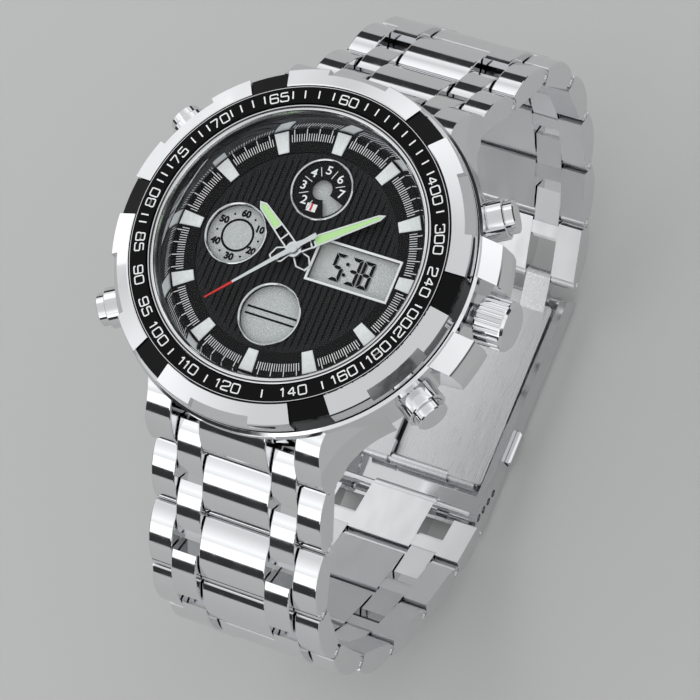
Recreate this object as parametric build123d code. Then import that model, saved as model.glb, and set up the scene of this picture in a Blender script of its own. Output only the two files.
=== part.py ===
from build123d import *
import math
import os

os.makedirs("parts", exist_ok=True)

# The frame: X points to 3 o'clock, Y to 12 o'clock, Z up out of the dial. The watch stands on its
# closed clasp, and the origin lies on the clasp's flat, under the middle of the dial.
# Depths are measured down from the top of the numbered ring, and radii from the dial's middle.
# The crystal's radius drives the rings and the case round it, and the case drives the lugs, the
# controls and, through the row angles, the clasp.

# Working gaps
run_gap = 0.04
slip_gap = 0.12
seat_gap = 0.05
overrun = 1.0

# Crystal, its bright ring and the sloping inner wall
crystal_radius = 17.0
crystal_top_depth = 0.12
crystal_thick = 1.45
crystal_edge = 0.25
crystal_ring_width = 0.91
crystal_ring_top_depth = 0.06
crystal_ring_inner_depth = 0.34
crystal_ring_height = 0.68
wall_lip = 0.15
wall_slope = 0.73
wall_top_depth = crystal_top_depth + crystal_thick + seat_gap
crystal_ring_depth = wall_top_depth + crystal_ring_height
crystal_ring_inner_radius = crystal_radius + run_gap
ring_inner_radius = crystal_ring_inner_radius + crystal_ring_width + seat_gap
wall_top_radius = crystal_radius - wall_lip
wall_foot_radius = wall_top_radius - wall_slope
wall_outer_radius = ring_inner_radius - 2 * seat_gap

# Dial
hand_room = 1.78
dial_thick = 0.4
dial_gap = 0.07
chapter_rise = 0.15
chapter_back = 0.7
marker_back = 0.2
marker_length = 2.8
short_marker_length = 1.97
marker_inner_half_width = 0.68
marker_outer_half_width = 0.93
marker_rise = 0.3
marker_edge = 0.08
chapter_margin = 0.17
rib_margin = 0.25
rib_pitch = 0.85
rib_groove_width = 0.2
rib_groove_depth = 0.09
arbor_hole_radius = 1.0
dial_depth = crystal_top_depth + crystal_thick + hand_room
dial_seat_radius = ring_inner_radius - seat_gap
dial_radius = dial_seat_radius - dial_gap
chapter_outer_radius = ring_inner_radius - chapter_back
marker_outer_radius = wall_foot_radius - marker_back
marker_inner_radius = marker_outer_radius - marker_length
short_marker_inner_radius = marker_outer_radius - short_marker_length
chapter_inner_radius = marker_inner_radius - chapter_margin
ribbed_radius = chapter_inner_radius - rib_margin

# Displays: three round ones and the time window
subdial_offset_share = 0.6614
subdial_radius_share = 0.3189
subdial_ring_width = 0.27
subdial_ring_rise = 0.28
subdial_edge = 0.08
lcd_gap = 0.25
lcd_thick = 0.35
lcd_margin = 0.3
window_left = 2.4
window_top = 2.68
window_bottom = -2.92
window_margin = 0.3
window_bar = 0.27
window_rise = 0.2
day_mask_thick = 0.2
day_hole_radius = 1.3
day_sector_count = 8
day_bar_width = 0.09
day_bar_rise = 0.07
day_bar_start = 0.45
day_bar_back = 0.58
day_wedge_back = 0.27
day_wedge_middle_angle = 133.0
day_wedge_half_angle = 24.0
subdial_offset = subdial_offset_share * ribbed_radius
subdial_outer_radius = subdial_radius_share * ribbed_radius
subdial_inner_radius = subdial_outer_radius - subdial_ring_width
window_right = short_marker_inner_radius - window_margin
lcd_depth = dial_depth + dial_thick + lcd_gap

# Hands. Angles are clockwise from 12, as the hands stand at about nine minutes past ten.
hour_angle = 304.4
minute_angle = 52.6
second_angle = 222.4
hour_lift = 0.49
minute_lift = 0.36
second_lift = 0.38
hand_thick = 0.16
hour_reach = 8.25
minute_gap = 1.02
second_gap = 0.77
hour_root_width = 1.5
hour_tip_width = 1.1
minute_root_width = 1.55
minute_tip_width = 0.8
hand_tip_length = 0.85
hand_root = 2.2
hand_bar = 0.2
point_inset_share = 2.2
hub_radius = 1.0
lume_thick = 0.1
hour_lume_start = 4.0
minute_lume_start = 2.9
hand_cross_bar = 0.22
tail_reach = 3.1
tail_width = 2.1
tail_start = 0.75
tail_root_share = 0.62
tail_end_share = 0.42
second_tail_reach = 3.35
second_tail_width = 0.62
second_tip_width = 0.16
second_hub_radius = 0.55
hour_pipe_radius = 0.85
minute_pipe_radius = 0.55
second_arbor_radius = 0.25
pipe_length = 2.6
pipe_step = 0.35
hour_level = dial_depth - hour_lift
minute_level = hour_level - minute_lift
second_level = minute_level - second_lift
minute_reach = marker_inner_radius - minute_gap
second_reach = marker_inner_radius - second_gap

# Numbered ring, black ring and the six bright segments round it
segment_count = 6
segment_half_angle = 23.6
pocket_half_angle = 23.8
recess_half_angle = 10.3
insert_width = 2.2
insert_thick = 0.5
insert_gap = 0.08
rim_width = 2.2
rim_inner_depth = 0.15
rim_outer_depth = 1.0
pocket_depth = 1.8
skirt_thick = 0.35
segment_inner_rise = 0.18
segment_outer_depth = 0.8
segment_skirt_depth = 2.9
segment_edge = 0.14
recess_width = 0.95
recess_inner_depth = 0.5
recess_outer_depth = 2.0
ring_floor_depth = dial_depth - chapter_rise
insert_inner_radius = ring_inner_radius + slip_gap
insert_outer_radius = insert_inner_radius + insert_width
rim_inner_radius = insert_outer_radius + insert_gap
rim_outer_radius = rim_inner_radius + rim_width
skirt_inner_radius = rim_outer_radius + seat_gap
segment_outer_radius = skirt_inner_radius + skirt_thick
recess_inner_radius = segment_outer_radius - recess_width

# Middle case and its back
flange_width = 0.45
flange_lip = 0.35
flange_height = 1.5
waist_step = 0.7
case_height = 10.0
foot_height = 2.4
foot_bevel = 1.85
cavity_back = 0.4
gasket_start = 0.15
gasket_end = 0.9
gasket_depth = 0.55
back_margin = 1.1
back_thick = 1.2
back_edge = 0.4
back_rim_gap = 0.1
back_rim_width = 0.9
back_rim_height = 0.9
back_notch_count = 6
back_notch_width = 2.4
back_notch_depth = 0.5
case_top_depth = ring_floor_depth
case_foot_depth = case_top_depth + case_height
flange_radius = segment_outer_radius + flange_width
flange_depth = case_top_depth + flange_height
waist_radius = flange_radius - waist_step
waist_top_depth = flange_depth + waist_step
waist_foot_depth = case_foot_depth - foot_height
case_foot_radius = waist_radius - foot_bevel
cavity_radius = ring_inner_radius - cavity_back
gasket_inner_radius = cavity_radius + gasket_start
gasket_outer_radius = cavity_radius + gasket_end
back_radius = case_foot_radius - back_margin
back_rim_radius = cavity_radius - back_rim_gap

# Lugs and the columns of the bracelet, which line up with them. The lug's outline is measured
# from the lug pin: outwards along the strap, and up from the pin or down from the case's top.
pin_radius = 0.5
pin_end_gap = 0.08
lug_reach = 1.55
lug_pin_rise = 0.1
knuckle_radius = 0.84
column_gap = 0.14
band_half_width = 12.0
centre_width_share = 0.39167
tab_width_share = 0.3
lug_root_back = 9.3
lug_shoulder_back = 4.7
lug_shoulder_drop = 1.3
lug_shoulder_angle = 19.35
lug_tip_reach = 1.3
lug_tip_rise = 0.75
lug_face_reach = 0.72
lug_face_rise = 0.24
lug_heel_back = 1.6
lug_heel_drop = 0.8
lug_edge = 0.22
lug_flare = 5.2
lug_corner = 0.35
lug_side_back = 3.7
lug_side_flare = 1.15
lug_facet_rise = 4.9
lug_facet_width = 1.1
notch_back = 2.6
notch_drop = 1.7
centre_half_width = centre_width_share * band_half_width
tab_width = tab_width_share * band_half_width
lug_pin_out = waist_radius + lug_reach
lug_pin_depth = case_foot_depth - lug_pin_rise
lug_root_out = lug_pin_out - lug_root_back
lug_shoulder_depth = case_top_depth + lug_shoulder_drop
lug_tip_out = lug_pin_out + lug_tip_reach
lug_tip_depth = lug_pin_depth - lug_tip_rise
notch_back_out = lug_pin_out - notch_back

# Crown, its guards, its tube and stem
control_share = 0.43
crown_gap = 0.7
crown_length = 4.0
crown_radius = 3.12
crown_edge = 0.3
crown_flute_count = 20
crown_flute_radius = 0.3
crown_flute_inset = 0.08
crown_collar = 0.5
crown_bore_radius = 1.75
crown_bore_length = 2.0
crown_tube_radius = 1.5
crown_tube_reach = 0.75
tube_seat = 0.1
stem_radius = 0.6
stem_reach = 2.95
stem_run = 8.6
guard_gap = 0.53
guard_length = 4.95
guard_top_drop = 0.1
guard_top_width = 2.3
guard_ridge_depth = 1.5
guard_side_width = 2.85
guard_side_depth = 4.1
guard_foot_width = 2.5
guard_foot_rise = 1.0
guard_edge = 0.15
control_depth = case_top_depth + control_share * case_height
crown_start = flange_radius + crown_gap
crown_end = crown_start + crown_length
crown_tube_start = cavity_radius + tube_seat
crown_tube_end = crown_start + crown_tube_reach
stem_start = cavity_radius - stem_run
stem_end = crown_start + stem_reach

# Pushers, at 2, 4, 8 and 10 o'clock
pusher_angles = {"pusher_2": 30.0, "pusher_4": -30.0, "pusher_8": 210.0, "pusher_10": 150.0}
collar_radius = 2.62
collar_seat = 1.25
collar_length = 3.42
collar_bore_radius = 2.16
collar_floor_thick = 0.7
collar_edge = 0.12
collar_foot_radius = 1.4
pusher_cap_radius = 2.1
pusher_cap_sunk = 0.72
pusher_cap_proud = 1.23
pusher_edge = 0.15
pusher_shaft_radius = 0.8
pusher_clip_radius = 1.2
pusher_clip_back = 0.65
pusher_clip_thick = 0.45
collar_start = flange_radius - collar_seat
collar_end = collar_start + collar_length
collar_floor = collar_start + collar_floor_thick
collar_foot_start = cavity_radius + tube_seat
pusher_cap_start = collar_end - pusher_cap_sunk
pusher_cap_end = collar_end + pusher_cap_proud
pusher_clip_start = cavity_radius - pusher_clip_back

# Quartz module and what it holds
module_gap = 0.15
module_back = 3.0
spacer_width = 2.1
spacer_slot_radius = 1.45
stem_hole_radius = 0.75
board_margin = 0.6
board_thick = 0.5
cell_radius = 4.75
cell_thick = 1.5
cell_offset_share = 0.4545
small_cell_radius = 3.4
strap_width = 2.4
strap_thick = 0.18
strap_over = 5.0
buzzer_radius = 9.0
buzzer_thick = 0.35
spacer_outer_radius = cavity_radius - back_rim_gap
module_radius = spacer_outer_radius - spacer_width
module_top_depth = lcd_depth + lcd_thick + module_gap
module_foot_depth = case_foot_depth - module_back
board_radius = module_radius - board_margin
cell_offset = cell_offset_share * module_radius
strap_reach = cell_offset + strap_over

# Bracelet links. Each link row turns on the pin at the end of the one before it. Along the row,
# lengths are measured from its own pin, and heights outwards from the pin's middle.
row_pitch = 9.2
row_angles_6 = [48, 42, 73, 96, 116, 137, 146, 161]
row_angles_12 = [48, 42, 70, 96, 115, 128, 143]
block_start = 1.0
block_lip = 0.6
block_lip_height = 0.86
block_step_height = 0.3
block_floor = 1.15
block_shoulder = 1.15
block_crown = 2.25
block_end_back = 0.2
floor_end_back = 0.6
link_edge = 0.18
tab_half_length = 3.85
tab_floor = 1.1
tab_shoulder = 1.35
tab_crown = 2.15
tab_room = 0.45
bridge_start = 1.45
bridge_end = 3.3
bridge_floor = 1.0
bridge_top = 0.35
last_block_back = 1.8
bar_tip_gap = 0.3
tab_sweep_radius = tab_half_length + tab_room

# Fold-over clasp. Heights are up from its flat, and places along the strap are measured from the
# ends of the two strands of links.
bar_rise = 4.076
cover_inset = 1.0
cover_wall = 1.0
cover_plate = 1.0
cover_over_6 = 1.466
cover_over_12 = 1.05
cover_wall_end_6 = 1.25
cover_wall_top = 3.95
cover_edge = 0.45
hinge_a_back = 2.278
hinge_a_rise = 1.85
hinge_b_in = 4.334
hinge_b_rise = 3.0
clasp_knuckle_radius = 0.8
blade_thick = 0.8
blade_1_inset = 0.4
blade_1_rise = 1.95
blade_2_inset = 0.5
blade_2_rise = 3.3
blade_2_slot_gap = 2.4
blade_slot_back = 1.9
blade_arm_back = 3.678
blade_arm_run = 2.0
blade_arm_width = 1.0
blade_arm_side = 0.17
blade_corner = 0.6
adjust_hole_count = 4
adjust_hole_radius = 0.55
adjust_hole_step = 1.37
adjust_hole_drop = 0.53
button_in = 10.934
button_rise = 2.1
button_length = 4.6
button_height = 1.7
button_proud = 0.75
button_flange = 0.5
button_flange_thick = 0.4
button_flange_lip = 0.1
button_edge = 0.25
bracket_inset = 3.75
bracket_thick = 0.5
bracket_height = 2.9
cover_half_width = band_half_width - cover_inset
blade_1_half_width = centre_half_width - blade_1_inset
blade_2_half_width = cover_half_width - cover_wall - blade_2_inset
bracket_inner = cover_half_width - bracket_inset


def strand_drop(angles):
    # how far a strand of links goes down between its first pin and its last
    return row_pitch * sum(math.sin(math.radians(angle)) for angle in angles)


# The case parts stand this far up, so that the clasp's flat is at zero
stand_height = lug_pin_depth + strand_drop(row_angles_6) + bar_rise


def at_depth(depth):
    return stand_height - depth


def save(node, shape):
    shape.label = node
    export_step(shape, "parts/" + node + ".step")


def turned(points, start_angle=0.0, sweep=360.0):
    # a ring from an outline of (radius, depth) points
    outline = Polyline([(r, 0, at_depth(d)) for r, d in points], close=True)
    ring = revolve(make_face(outline), axis=Axis.Z, revolution_arc=sweep)
    return Rot(0, 0, start_angle) * ring


def tube(outer, inner, top_depth, foot_depth):
    height = foot_depth - top_depth
    wall = Cylinder(outer, height, align=(Align.CENTER, Align.CENTER, Align.MIN))
    if inner > 0:
        bore = Cylinder(inner, height + 2 * overrun, align=(Align.CENTER, Align.CENTER, Align.MIN))
        wall -= Pos(0, 0, -overrun) * bore
    return Pos(0, 0, at_depth(foot_depth)) * wall


def radial(radius, start, end, angle=0.0, depth=control_depth):
    # a rod that points out of the case at the height of the crown
    rod = Cylinder(radius, end - start, align=(Align.CENTER, Align.CENTER, Align.MIN))
    return Rot(0, 0, angle) * Pos(start, 0, at_depth(depth)) * Rot(0, 90, 0) * rod


def across(radius, y, z, half_width):
    # a pin that lies along X
    return Pos(0, y, z) * Rot(0, 90, 0) * Cylinder(radius, 2 * half_width)


def slab(points, half_width, middle=0.0):
    # an outline of (y, z) points, pulled out along X
    face = make_face(Polyline([(middle - half_width, y, z) for y, z in points], close=True))
    return extrude(face, amount=2 * half_width, dir=(1, 0, 0))


def clock(angle):
    # turns a piece made pointing to 12 round to its place on the dial
    return Rot(0, 0, -angle)


# Ring, segments and numbered insert

def bezel_ring():
    ring = turned([
        (ring_inner_radius, insert_thick), (rim_inner_radius, insert_thick),
        (rim_inner_radius, rim_inner_depth), (rim_outer_radius, rim_outer_depth),
        (rim_outer_radius, ring_floor_depth), (ring_inner_radius, ring_floor_depth)])
    pocket = turned([
        (rim_inner_radius, -overrun), (rim_outer_radius + overrun, -overrun),
        (rim_outer_radius + overrun, pocket_depth), (rim_inner_radius, pocket_depth)],
        sweep=2 * pocket_half_angle)
    step = 360.0 / segment_count
    for k in range(segment_count):
        ring -= Rot(0, 0, 90 - pocket_half_angle + k * step) * pocket
    return ring


def bezel_segments():
    bottom = pocket_depth - seat_gap
    segment = turned([
        (rim_inner_radius + seat_gap, -segment_inner_rise),
        (segment_outer_radius, segment_outer_depth),
        (segment_outer_radius, segment_skirt_depth), (skirt_inner_radius, segment_skirt_depth),
        (skirt_inner_radius, bottom), (rim_inner_radius + seat_gap, bottom)],
        sweep=2 * segment_half_angle)
    top_edges = segment.edges().filter_by(GeomType.CIRCLE).group_by(Axis.Z)[-2:]
    segment = chamfer([e for group in top_edges for e in group], segment_edge)
    recess = turned([
        (recess_inner_radius, -overrun), (segment_outer_radius + overrun, -overrun),
        (segment_outer_radius + overrun, recess_outer_depth), (segment_outer_radius, recess_outer_depth),
        (recess_inner_radius, recess_inner_depth)],
        start_angle=segment_half_angle - recess_half_angle, sweep=2 * recess_half_angle)
    segment -= recess
    step = 360.0 / segment_count
    places = [90 - segment_half_angle + k * step for k in range(segment_count)]
    return Compound(children=[Rot(0, 0, a) * segment for a in places])


def bezel_insert():
    return tube(insert_outer_radius, insert_inner_radius, 0, insert_thick)


# Crystal group

def crystal():
    glass = tube(crystal_radius, 0, crystal_top_depth, crystal_top_depth + crystal_thick)
    return chamfer(glass.edges().group_by(Axis.Z)[-1], crystal_edge)


def crystal_ring():
    return turned([
        (crystal_ring_inner_radius, crystal_ring_inner_depth),
        (ring_inner_radius - seat_gap, crystal_ring_top_depth),
        (ring_inner_radius - seat_gap, crystal_ring_depth),
        (crystal_ring_inner_radius, crystal_ring_depth)])


def inner_wall_ring():
    foot = dial_depth - chapter_rise
    return turned([
        (wall_top_radius, wall_top_depth), (crystal_radius, wall_top_depth),
        (crystal_radius, crystal_ring_depth + seat_gap), (wall_outer_radius, crystal_ring_depth + seat_gap),
        (wall_outer_radius, foot), (wall_foot_radius, foot)])


# Dial group

def round_windows(radius):
    holes = [Pos(0, subdial_offset, 0), Pos(-subdial_offset, 0, 0), Pos(0, -subdial_offset, 0)]
    foot = dial_depth + dial_thick + overrun
    return [place * tube(radius, 0, dial_depth - overrun, foot) for place in holes]


def window_block(margin, top_depth, foot_depth):
    width = window_right - window_left - 2 * margin
    height = window_top - window_bottom - 2 * margin
    middle = Pos((window_right + window_left) / 2, (window_top + window_bottom) / 2, at_depth(foot_depth))
    return middle * Box(width, height, foot_depth - top_depth, align=(Align.CENTER, Align.CENTER, Align.MIN))


def dial():
    plate = tube(dial_radius, arbor_hole_radius, dial_depth, dial_depth + dial_thick)
    grooves = []
    count = int(ribbed_radius / rib_pitch)
    for k in range(-count, count + 1):
        x = k * rib_pitch
        reach = math.sqrt(ribbed_radius ** 2 - x ** 2)
        groove = Box(rib_groove_width, 2 * reach, 2 * rib_groove_depth)
        grooves.append(Pos(x, 0, at_depth(dial_depth)) * groove)
    plate -= grooves
    plate -= round_windows(subdial_inner_radius)
    plate -= window_block(window_bar, dial_depth - overrun, dial_depth + dial_thick + overrun)
    return plate


def chapter_ring():
    ring = tube(chapter_outer_radius, chapter_inner_radius, dial_depth - chapter_rise, dial_depth)
    ring -= window_block(-seat_gap, dial_depth - overrun, dial_depth + overrun)
    return ring


def hour_marker(inner_radius):
    share = (inner_radius - marker_inner_radius) / (marker_outer_radius - marker_inner_radius)
    inner = marker_inner_half_width + share * (marker_outer_half_width - marker_inner_half_width)
    foot = at_depth(dial_depth - chapter_rise)
    outline = Polyline([
        (-inner, inner_radius, foot), (inner, inner_radius, foot),
        (marker_outer_half_width, marker_outer_radius, foot),
        (-marker_outer_half_width, marker_outer_radius, foot)], close=True)
    block = extrude(make_face(outline), amount=marker_rise - chapter_rise, dir=(0, 0, 1))
    return chamfer(block.edges().group_by(Axis.Z)[-1], marker_edge)


def hour_markers():
    step = 30
    blocks = []
    for hour in range(12):
        inner = short_marker_inner_radius if hour == 3 else marker_inner_radius
        blocks.append(clock(hour * step) * hour_marker(inner))
    return Compound(children=blocks)


def subdial_rings():
    ring = tube(subdial_outer_radius, subdial_inner_radius, dial_depth - subdial_ring_rise, dial_depth)
    ring = chamfer(ring.edges().group_by(Axis.Z)[-1], subdial_edge)
    places = [Pos(0, subdial_offset, 0), Pos(-subdial_offset, 0, 0), Pos(0, -subdial_offset, 0)]
    return Compound(children=[place * ring for place in places])


def window_frame():
    frame = window_block(0, dial_depth - window_rise, dial_depth)
    return frame - window_block(window_bar, dial_depth - window_rise - overrun, dial_depth + overrun)


def day_mask():
    mask = tube(subdial_inner_radius - seat_gap, day_hole_radius, dial_depth, dial_depth + day_mask_thick)
    foot = at_depth(dial_depth + day_mask_thick + overrun)
    height = day_mask_thick + 2 * overrun
    reach = subdial_inner_radius
    spread = reach * math.tan(math.radians(day_wedge_half_angle))
    triangle = make_face(Polyline([(0, 0, foot), (-spread, reach, foot), (spread, reach, foot)], close=True))
    wedge = extrude(triangle, amount=height, dir=(0, 0, 1))
    wedge &= tube(subdial_inner_radius - day_wedge_back, 0, dial_depth - overrun, dial_depth + overrun)
    mask -= clock(day_wedge_middle_angle) * wedge
    step = 360.0 / day_sector_count
    start = day_hole_radius + day_bar_start
    length = subdial_inner_radius - day_bar_back - start
    bar = Box(day_bar_width, length, day_bar_rise, align=(Align.CENTER, Align.MIN, Align.MIN))
    for k in range(1, day_sector_count - 1):
        angle = day_wedge_middle_angle + (k + 0.5) * step
        mask += clock(angle) * Pos(0, start, at_depth(dial_depth)) * bar
    return Pos(0, subdial_offset, 0) * mask


def round_lcd(x, y):
    panel = tube(subdial_inner_radius + lcd_margin, 0, lcd_depth, lcd_depth + lcd_thick)
    return Pos(x, y, 0) * panel


def time_lcd():
    panel = window_block(window_bar - lcd_margin, lcd_depth, lcd_depth + lcd_thick)
    return panel & tube(module_radius, 0, lcd_depth - overrun, lcd_depth + lcd_thick + overrun)


# Hands

def blade_outline(reach, root_width, tip_width, root, inset=0.0):
    neck = reach - hand_tip_length
    return [(-root_width / 2 + inset, root + inset), (root_width / 2 - inset, root + inset),
            (tip_width / 2 - inset, neck - inset / 2), (0, reach - point_inset_share * inset),
            (-tip_width / 2 + inset, neck - inset / 2)]


def flat(points, level, thick):
    face = make_face(Polyline([(x, y, at_depth(level)) for x, y in points], close=True))
    return extrude(face, amount=thick, dir=(0, 0, 1))


def tail_outline(inset):
    half = tail_width / 2 - inset
    near = -tail_start - inset
    far = -tail_reach + inset
    shoulder = (near + far) / 2
    root = half * tail_root_share
    end = half * tail_end_share
    return [(-root, near), (root, near), (half, shoulder), (end, far), (-end, far), (-half, shoulder)]


def pointer(reach, root_width, tip_width, level, lume_start):
    # an open frame with an open tail, joined at the hub by two rails
    body = flat(blade_outline(reach, root_width, tip_width, hand_root), level, hand_thick)
    opening = blade_outline(reach, root_width, tip_width, hand_root, hand_bar)
    body -= flat(opening, level + overrun, 2 * overrun)
    rail = flat([(-root_width / 2, 0), (root_width / 2, 0), (root_width / 2, hand_root + hand_bar),
                 (-root_width / 2, hand_root + hand_bar)], level, hand_thick)
    inner = root_width / 2 - hand_bar
    end = hand_root + 2 * hand_bar
    rail -= flat([(-inner, 0), (inner, 0), (inner, end), (-inner, end)],
                 level + overrun, 2 * overrun)
    body += rail
    cross = flat([(-inner, lume_start - hand_cross_bar), (inner, lume_start - hand_cross_bar),
                  (inner, lume_start), (-inner, lume_start)], level, hand_thick)
    body += cross & flat(blade_outline(reach, root_width, tip_width, 0.0), level + overrun, 2 * overrun)
    tail = flat(tail_outline(0), level, hand_thick)
    tail -= flat(tail_outline(hand_bar), level + overrun, 2 * overrun)
    body += tail
    body += tube(hub_radius, 0, level - hand_thick, level)
    return body


def lume(reach, root_width, tip_width, level, lume_start):
    outline = blade_outline(reach, root_width, tip_width, hand_root, hand_bar)
    strip = flat(outline, level, lume_thick)
    side = root_width
    keep = flat([(-side, lume_start), (side, lume_start), (side, reach), (-side, reach)],
                level + overrun, 2 * overrun)
    return strip & keep


def hour_hand():
    body = pointer(hour_reach, hour_root_width, hour_tip_width, hour_level, hour_lume_start)
    body += tube(hour_pipe_radius, 0, hour_level - hand_thick, hour_level + pipe_length)
    body -= tube(minute_pipe_radius + run_gap, 0, 0, hour_level + pipe_length + overrun)
    return clock(hour_angle) * body


def hour_lume():
    return clock(hour_angle) * lume(hour_reach, hour_root_width, hour_tip_width, hour_level, hour_lume_start)


def minute_hand():
    body = pointer(minute_reach, minute_root_width, minute_tip_width, minute_level, minute_lume_start)
    body += tube(minute_pipe_radius, 0, minute_level - hand_thick, minute_level + pipe_length + pipe_step)
    body -= tube(second_arbor_radius + run_gap, 0, 0, minute_level + pipe_length + pipe_step + overrun)
    return clock(minute_angle) * body


def minute_lume():
    place = clock(minute_angle)
    return place * lume(minute_reach, minute_root_width, minute_tip_width, minute_level, minute_lume_start)


def second_hand():
    half = second_tail_width / 2
    needle = flat([(-half, -second_tail_reach), (half, -second_tail_reach), (half, 0),
                   (second_tip_width / 2, second_reach), (-second_tip_width / 2, second_reach), (-half, 0)],
                  second_level, hand_thick)
    needle += tube(second_hub_radius, 0, second_level - hand_thick - lume_thick, second_level)
    arbor_foot = second_level + pipe_length + 2 * pipe_step
    needle += tube(second_arbor_radius, 0, second_level - hand_thick, arbor_foot)
    return clock(second_angle) * needle


# Middle case with its lugs, guards and openings

def lug_outline():
    # the top rolls over in one arc, from the shoulder's slope to the tip
    slope = math.radians(lug_shoulder_angle)
    shoulder = (0, lug_pin_out - lug_shoulder_back, at_depth(lug_shoulder_depth))
    tip = (0, lug_tip_out, at_depth(lug_tip_depth))
    top = TangentArc(shoulder, tip, tangent=(0, math.cos(slope), -math.sin(slope)))
    rest = Polyline([tip, (0, lug_pin_out + lug_face_reach, at_depth(lug_pin_depth - lug_face_rise)),
                     (0, lug_pin_out, at_depth(lug_pin_depth)),
                     (0, lug_pin_out - lug_heel_back, at_depth(lug_pin_depth + lug_heel_drop)),
                     (0, case_foot_radius, at_depth(case_foot_depth)),
                     (0, lug_root_out, at_depth(case_foot_depth)),
                     (0, lug_root_out, at_depth(lug_shoulder_depth)),
                     shoulder])
    return make_face(Curve() + [top, rest])


def prong(start, end):
    body = Pos(start, 0, 0) * extrude(lug_outline(), amount=end - start, dir=(1, 0, 0))
    arcs = body.edges().filter_by(GeomType.CIRCLE)
    body = fillet(arcs, lug_edge)
    knuckle = across(knuckle_radius, lug_pin_out, at_depth(lug_pin_depth), (end - start) / 2)
    return body + Pos((start + end) / 2, 0, 0) * knuckle


def side_outline(inset, depth):
    # the hollow curve in plan from the tip of an outer prong to the side of the case
    level = at_depth(depth)
    tip = (band_half_width + lug_corner - inset, lug_tip_out + overrun, level)
    middle = (band_half_width + lug_side_flare - inset, lug_pin_out - lug_side_back, level)
    root = (band_half_width + lug_flare - inset, lug_root_out, level)
    far = band_half_width + 2 * lug_flare
    curve = ThreePointArc(tip, middle, root)
    rest = Polyline([root, (far, lug_root_out, level), (far, lug_tip_out + overrun, level), tip])
    return make_face(Curve() + [curve, rest])


def upright_side():
    foot = lug_pin_depth + 2 * lug_heel_drop
    return extrude(side_outline(0, foot), amount=foot + overrun, dir=(0, 0, 1))


def leaning_side():
    # the upper facet leans in from this depth up to the top of the lug
    foot = side_outline(0, lug_pin_depth - lug_facet_rise)
    top = side_outline(lug_facet_width, lug_shoulder_depth)
    return loft([foot, top], ruled=True) + extrude(top, amount=lug_shoulder_depth + overrun, dir=(0, 0, 1))


def lug_group():
    # the three prongs at 12 o'clock and the set-back wall between them
    tab_end = centre_half_width + tab_width + 2 * column_gap
    flared = band_half_width + lug_flare
    centre = prong(-centre_half_width, centre_half_width)
    right = prong(tab_end, flared)
    right -= upright_side()
    right -= leaning_side()
    left = mirror(right, about=Plane.YZ)
    notch_top = at_depth(case_top_depth + notch_drop)
    notch_foot = at_depth(case_foot_depth)
    wall = slab([(lug_root_out, notch_top), (notch_back_out, notch_top),
                 (notch_back_out, notch_foot), (lug_root_out, notch_foot)], tab_end)
    return wall + centre + right + left


def guard():
    # a stretch of ring beside the crown: a top that slopes from the flange, then a side that leans out
    near = crown_radius + guard_gap
    inner = cavity_radius + overrun
    top_depth = case_top_depth + guard_top_drop
    ring = turned([
        (inner, top_depth), (flange_radius, top_depth),
        (flange_radius + guard_top_width, case_top_depth + guard_ridge_depth),
        (flange_radius + guard_side_width, case_top_depth + guard_side_depth),
        (flange_radius + guard_foot_width, waist_foot_depth - guard_foot_rise),
        (waist_radius, waist_foot_depth), (inner, waist_foot_depth)])
    reach = flange_radius + guard_side_width + overrun
    keep = Box(reach, guard_length, case_foot_depth, align=(Align.MIN, Align.MIN, Align.MIN))
    block = ring & Pos(0, near, at_depth(case_foot_depth)) * keep
    ridges = [e for e in block.edges().filter_by(GeomType.CIRCLE)
              if e.radius > flange_radius + guard_foot_width - overrun / 2]
    return chamfer(ridges, guard_edge)


def mid_case():
    body = turned([
        (dial_seat_radius, case_top_depth), (flange_radius - flange_lip, case_top_depth),
        (flange_radius, case_top_depth + flange_lip), (flange_radius, flange_depth),
        (waist_radius, waist_top_depth), (waist_radius, waist_foot_depth),
        (case_foot_radius, case_foot_depth), (dial_seat_radius, case_foot_depth)])
    lugs = lug_group()
    body += lugs
    body += Rot(0, 0, 180) * lugs
    body += guard()
    body += mirror(guard(), about=Plane.XZ)
    body -= tube(cavity_radius, 0, case_top_depth - overrun, case_foot_depth + overrun)
    body -= tube(dial_seat_radius, 0, case_top_depth - overrun, dial_depth + dial_thick)
    body -= tube(gasket_outer_radius, 0, case_foot_depth - gasket_depth, case_foot_depth + overrun)
    # room for the first row's tabs, which swing on the lug pins
    middle = tab_middle
    for side in (1, -1):
        room = tab_width / 2 + column_gap
        sweep = across(tab_sweep_radius, side * lug_pin_out, at_depth(lug_pin_depth), room)
        for x in (middle, -middle):
            body -= Pos(x, 0, 0) * sweep
        body -= across(pin_radius, side * lug_pin_out, at_depth(lug_pin_depth), band_half_width - pin_end_gap)
    for angle in pusher_angles.values():
        body -= radial(collar_foot_radius, cavity_radius - overrun, collar_start, angle)
        body -= radial(collar_radius, collar_start, collar_end, angle)
    body -= radial(crown_tube_radius, cavity_radius - overrun, crown_end)
    body -= radial(crown_radius + slip_gap, crown_start - slip_gap, crown_end)
    return body


def case_back():
    plate = tube(back_radius, 0, case_foot_depth, case_foot_depth + back_thick)
    plate = chamfer(plate.edges().group_by(Axis.Z)[0], back_edge)
    notch = Box(2 * overrun, back_notch_width, 2 * back_notch_depth)
    step = 360.0 / back_notch_count
    for k in range(back_notch_count):
        plate -= Rot(0, 0, k * step) * Pos(back_radius, 0, at_depth(case_foot_depth + back_thick)) * notch
    rim_top = case_foot_depth - back_rim_height
    return plate + tube(back_rim_radius, back_rim_radius - back_rim_width, rim_top, case_foot_depth)


def back_gasket():
    top_depth = case_foot_depth - gasket_depth + seat_gap
    return tube(gasket_outer_radius - seat_gap, gasket_inner_radius, top_depth, case_foot_depth)


# Crown group

def crown_tube():
    return radial(crown_tube_radius, crown_tube_start, crown_tube_end) - radial(
        stem_radius + run_gap, crown_tube_start - overrun, crown_tube_end + overrun)


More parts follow.
